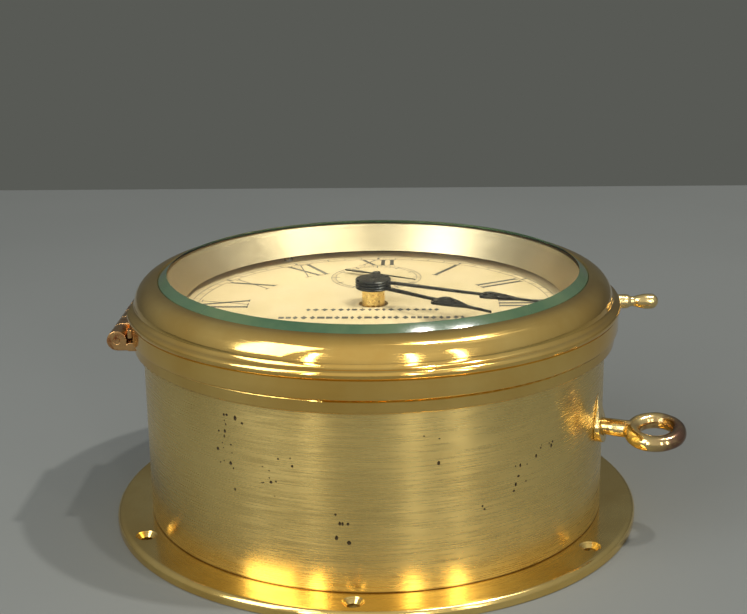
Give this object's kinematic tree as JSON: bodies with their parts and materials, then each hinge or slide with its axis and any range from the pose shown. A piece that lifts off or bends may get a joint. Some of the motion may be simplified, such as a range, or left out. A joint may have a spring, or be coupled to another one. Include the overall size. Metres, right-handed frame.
{
  "type": "ship's bulkhead clock",
  "caption": "Round brass marine wall clock: flanged drum case, hinged and lockable glazed bezel, Roman dial with small seconds, spade hands and a wound lever movement.",
  "frame": {"origin": "centre of the flange's back plane, on the case axis", "axes": "+Z out through the dial, +Y to 12 o'clock, +X to 3 o'clock"},
  "size_m": [0.2301, 0.216, 0.1027],
  "materials": {
    "flange_brass": "polished, fine scratches",
    "drum_brass": "satin, brushed round, pitted",
    "ring_brass": "polished",
    "bezel_brass": "polished, lightly worn",
    "sight_brass": "satin turned",
    "cover_brass": "satin",
    "hinge_brass": "tarnished, coppery",
    "key_brass": "polished, tarnished bow",
    "fitting_brass": "polished",
    "glass": "bevelled plate glass with green edge",
    "dial_paint": "cream, satin",
    "movement_brass": "grained",
    "hand_steel": "blued to black",
    "movement_steel": "polished"
  },
  "bodies": {
    "case": {"back_flange": "flange_brass", "back_cover": "cover_brass", "back_cover_screws": "cover_brass", "case_drum": "drum_brass", "body_ring": "ring_brass", "lower_hinge_leaf": "hinge_brass", "hinge_pin": "hinge_brass", "dial": "dial_paint", "dial_screws": "movement_steel", "lock_escutcheon": "fitting_brass", "lock_nut": "fitting_brass", "movement_front_plate": "movement_brass", "movement_back_plate": "movement_brass", "plate_pillars": "movement_brass", "plate_screws": "movement_steel", "movement_posts": "movement_brass", "post_screws": "movement_steel", "balance_cock": "movement_brass", "cock_screw": "movement_steel", "click_stud": "movement_steel", "click_spring": "movement_steel", "minute_wheel_stud": "movement_steel"},
    "bezel": {"bezel_ring": "bezel_brass", "glass": "glass", "sight_ring": "sight_brass", "sight_ring_screws": "movement_steel", "upper_hinge_leaf": "hinge_brass", "bezel_knob": "fitting_brass", "lock_catch": "fitting_brass", "catch_screws": "fitting_brass"},
    "lock": {"lock_plug": "fitting_brass", "hook_arm": "fitting_brass", "arm_screw": "fitting_brass"},
    "key": {"bezel_key": "key_brass"},
    "winding": {"winding_arbor": "movement_steel", "ratchet_wheel": "movement_steel"},
    "click": {"click": "movement_steel"},
    "barrel": {"spring_barrel": "movement_brass", "barrel_cover": "movement_brass", "mainspring": "movement_steel"},
    "centre": {"centre_arbor": "movement_steel", "centre_wheel": "movement_brass", "cannon_pinion": "movement_steel", "minute_hand": "hand_steel"},
    "third": {"third_arbor": "movement_steel", "third_wheel": "movement_brass"},
    "fourth": {"fourth_arbor": "movement_steel", "fourth_wheel": "movement_brass", "seconds_hand": "hand_steel"},
    "escape": {"escape_arbor": "movement_steel", "escape_wheel": "movement_steel"},
    "lever": {"pallet_lever": "movement_steel"},
    "balance": {"balance_wheel": "movement_steel", "hairspring": "movement_steel"},
    "minute_work": {"minute_wheel": "movement_brass", "minute_pinion": "movement_steel"},
    "hour": {"hour_wheel": "movement_brass", "hour_hand": "hand_steel"}
  },
  "joints": [
    {"name": "bezel_open", "type": "hinge", "parent": "case", "child": "bezel", "pos_m": [-0.1005, 0, 0.0792], "axis": [0, -1, 0], "range_deg": [0, 120]},
    {"name": "lock_turn", "type": "hinge", "parent": "case", "child": "lock", "pos_m": [0.0851, -0.0293, 0.045], "axis": [0.9455, -0.3256, 0], "range_deg": [0, 25]},
    {"name": "key_pull", "type": "slide", "parent": "lock", "child": "key", "axis": [0.9455, -0.3256, 0], "range_m": [0, 0.03]},
    {"name": "winding_turn", "type": "hinge", "parent": "case", "child": "winding", "pos_m": [0, -0.0378, 0.06], "axis": [0, 0, 1], "continuous": true},
    {"name": "click_lift", "type": "hinge", "parent": "case", "child": "click", "pos_m": [0.0085, -0.05252, 0.0739], "axis": [0, 0, -1], "range_deg": [0, 8]},
    {"name": "train_turn", "type": "hinge", "parent": "case", "child": "third", "pos_m": [0.00763, 0.02117, 0.06], "axis": [0, 0, 1], "continuous": true},
    {"name": "barrel_turn", "type": "hinge", "parent": "case", "child": "barrel", "pos_m": [0, -0.0378, 0.06], "axis": [0, 0, 1], "continuous": true},
    {"name": "minute_turn", "type": "hinge", "parent": "case", "child": "centre", "pos_m": [0, 0, 0.08], "axis": [0, 0, 1], "continuous": true},
    {"name": "seconds_turn", "type": "hinge", "parent": "case", "child": "fourth", "pos_m": [0, 0.041, 0.06], "axis": [0, 0, 1], "continuous": true},
    {"name": "escape_turn", "type": "hinge", "parent": "case", "child": "escape", "pos_m": [-0.01353, 0.04593, 0.06], "axis": [0, 0, 1], "continuous": true},
    {"name": "minute_wheel_turn", "type": "hinge", "parent": "case", "child": "minute_work", "pos_m": [-0.0099, -0.0099, 0.077], "axis": [0, 0, 1], "continuous": true},
    {"name": "hour_turn", "type": "hinge", "parent": "case", "child": "hour", "pos_m": [0, 0, 0.08], "axis": [0, 0, 1], "continuous": true},
    {"name": "lever_rock", "type": "hinge", "parent": "case", "child": "lever", "pos_m": [-0.02067, 0.04333, 0.0494], "axis": [0, 0, 1], "range_deg": [-5, 5]},
    {"name": "balance_swing", "type": "hinge", "parent": "case", "child": "balance", "pos_m": [-0.03009, 0.03673, 0.0425], "axis": [0, 0, 1], "range_deg": [-220, 220]}
  ],
  "couplings": [
    {"joint": "minute_turn", "follows": "train_turn", "ratio": -0.125},
    {"joint": "barrel_turn", "follows": "train_turn", "ratio": 0.015625},
    {"joint": "seconds_turn", "follows": "train_turn", "ratio": -7.5},
    {"joint": "escape_turn", "follows": "train_turn", "ratio": 60},
    {"joint": "minute_wheel_turn", "follows": "train_turn", "ratio": 0.041667},
    {"joint": "hour_turn", "follows": "train_turn", "ratio": -0.010417}
  ]
}
